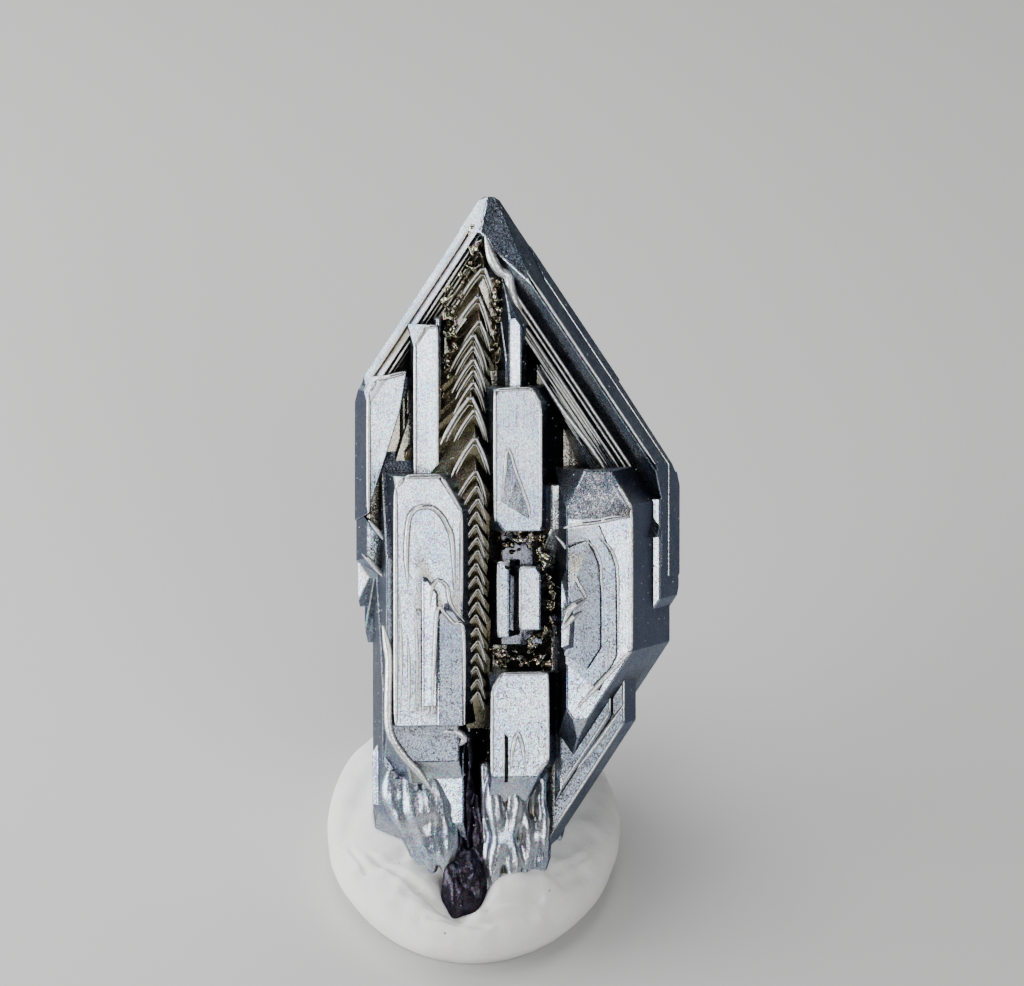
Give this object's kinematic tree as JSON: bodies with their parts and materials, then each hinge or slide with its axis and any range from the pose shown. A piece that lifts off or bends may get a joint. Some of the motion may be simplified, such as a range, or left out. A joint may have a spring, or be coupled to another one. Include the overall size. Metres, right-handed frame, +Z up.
{
  "type": "tellurium specimen",
  "caption": "Skeletal six-sided crystal of native tellurium with a stepped trench between parallel plates, leaning in a pinch of white mineral tack.",
  "frame": {"origin": "middle of the flat underside of the mineral tack", "axes": "+Z up; the crystal's show side faces -Y and its long axis leans back toward +Y"},
  "size_m": [0.01, 0.014, 0.0175],
  "materials": {
    "tellurium": "satin",
    "putty": "matte"
  },
  "bodies": {
    "root": {"tellurium_crystal": "tellurium", "mounting_putty": "putty"}
  },
  "joints": []
}
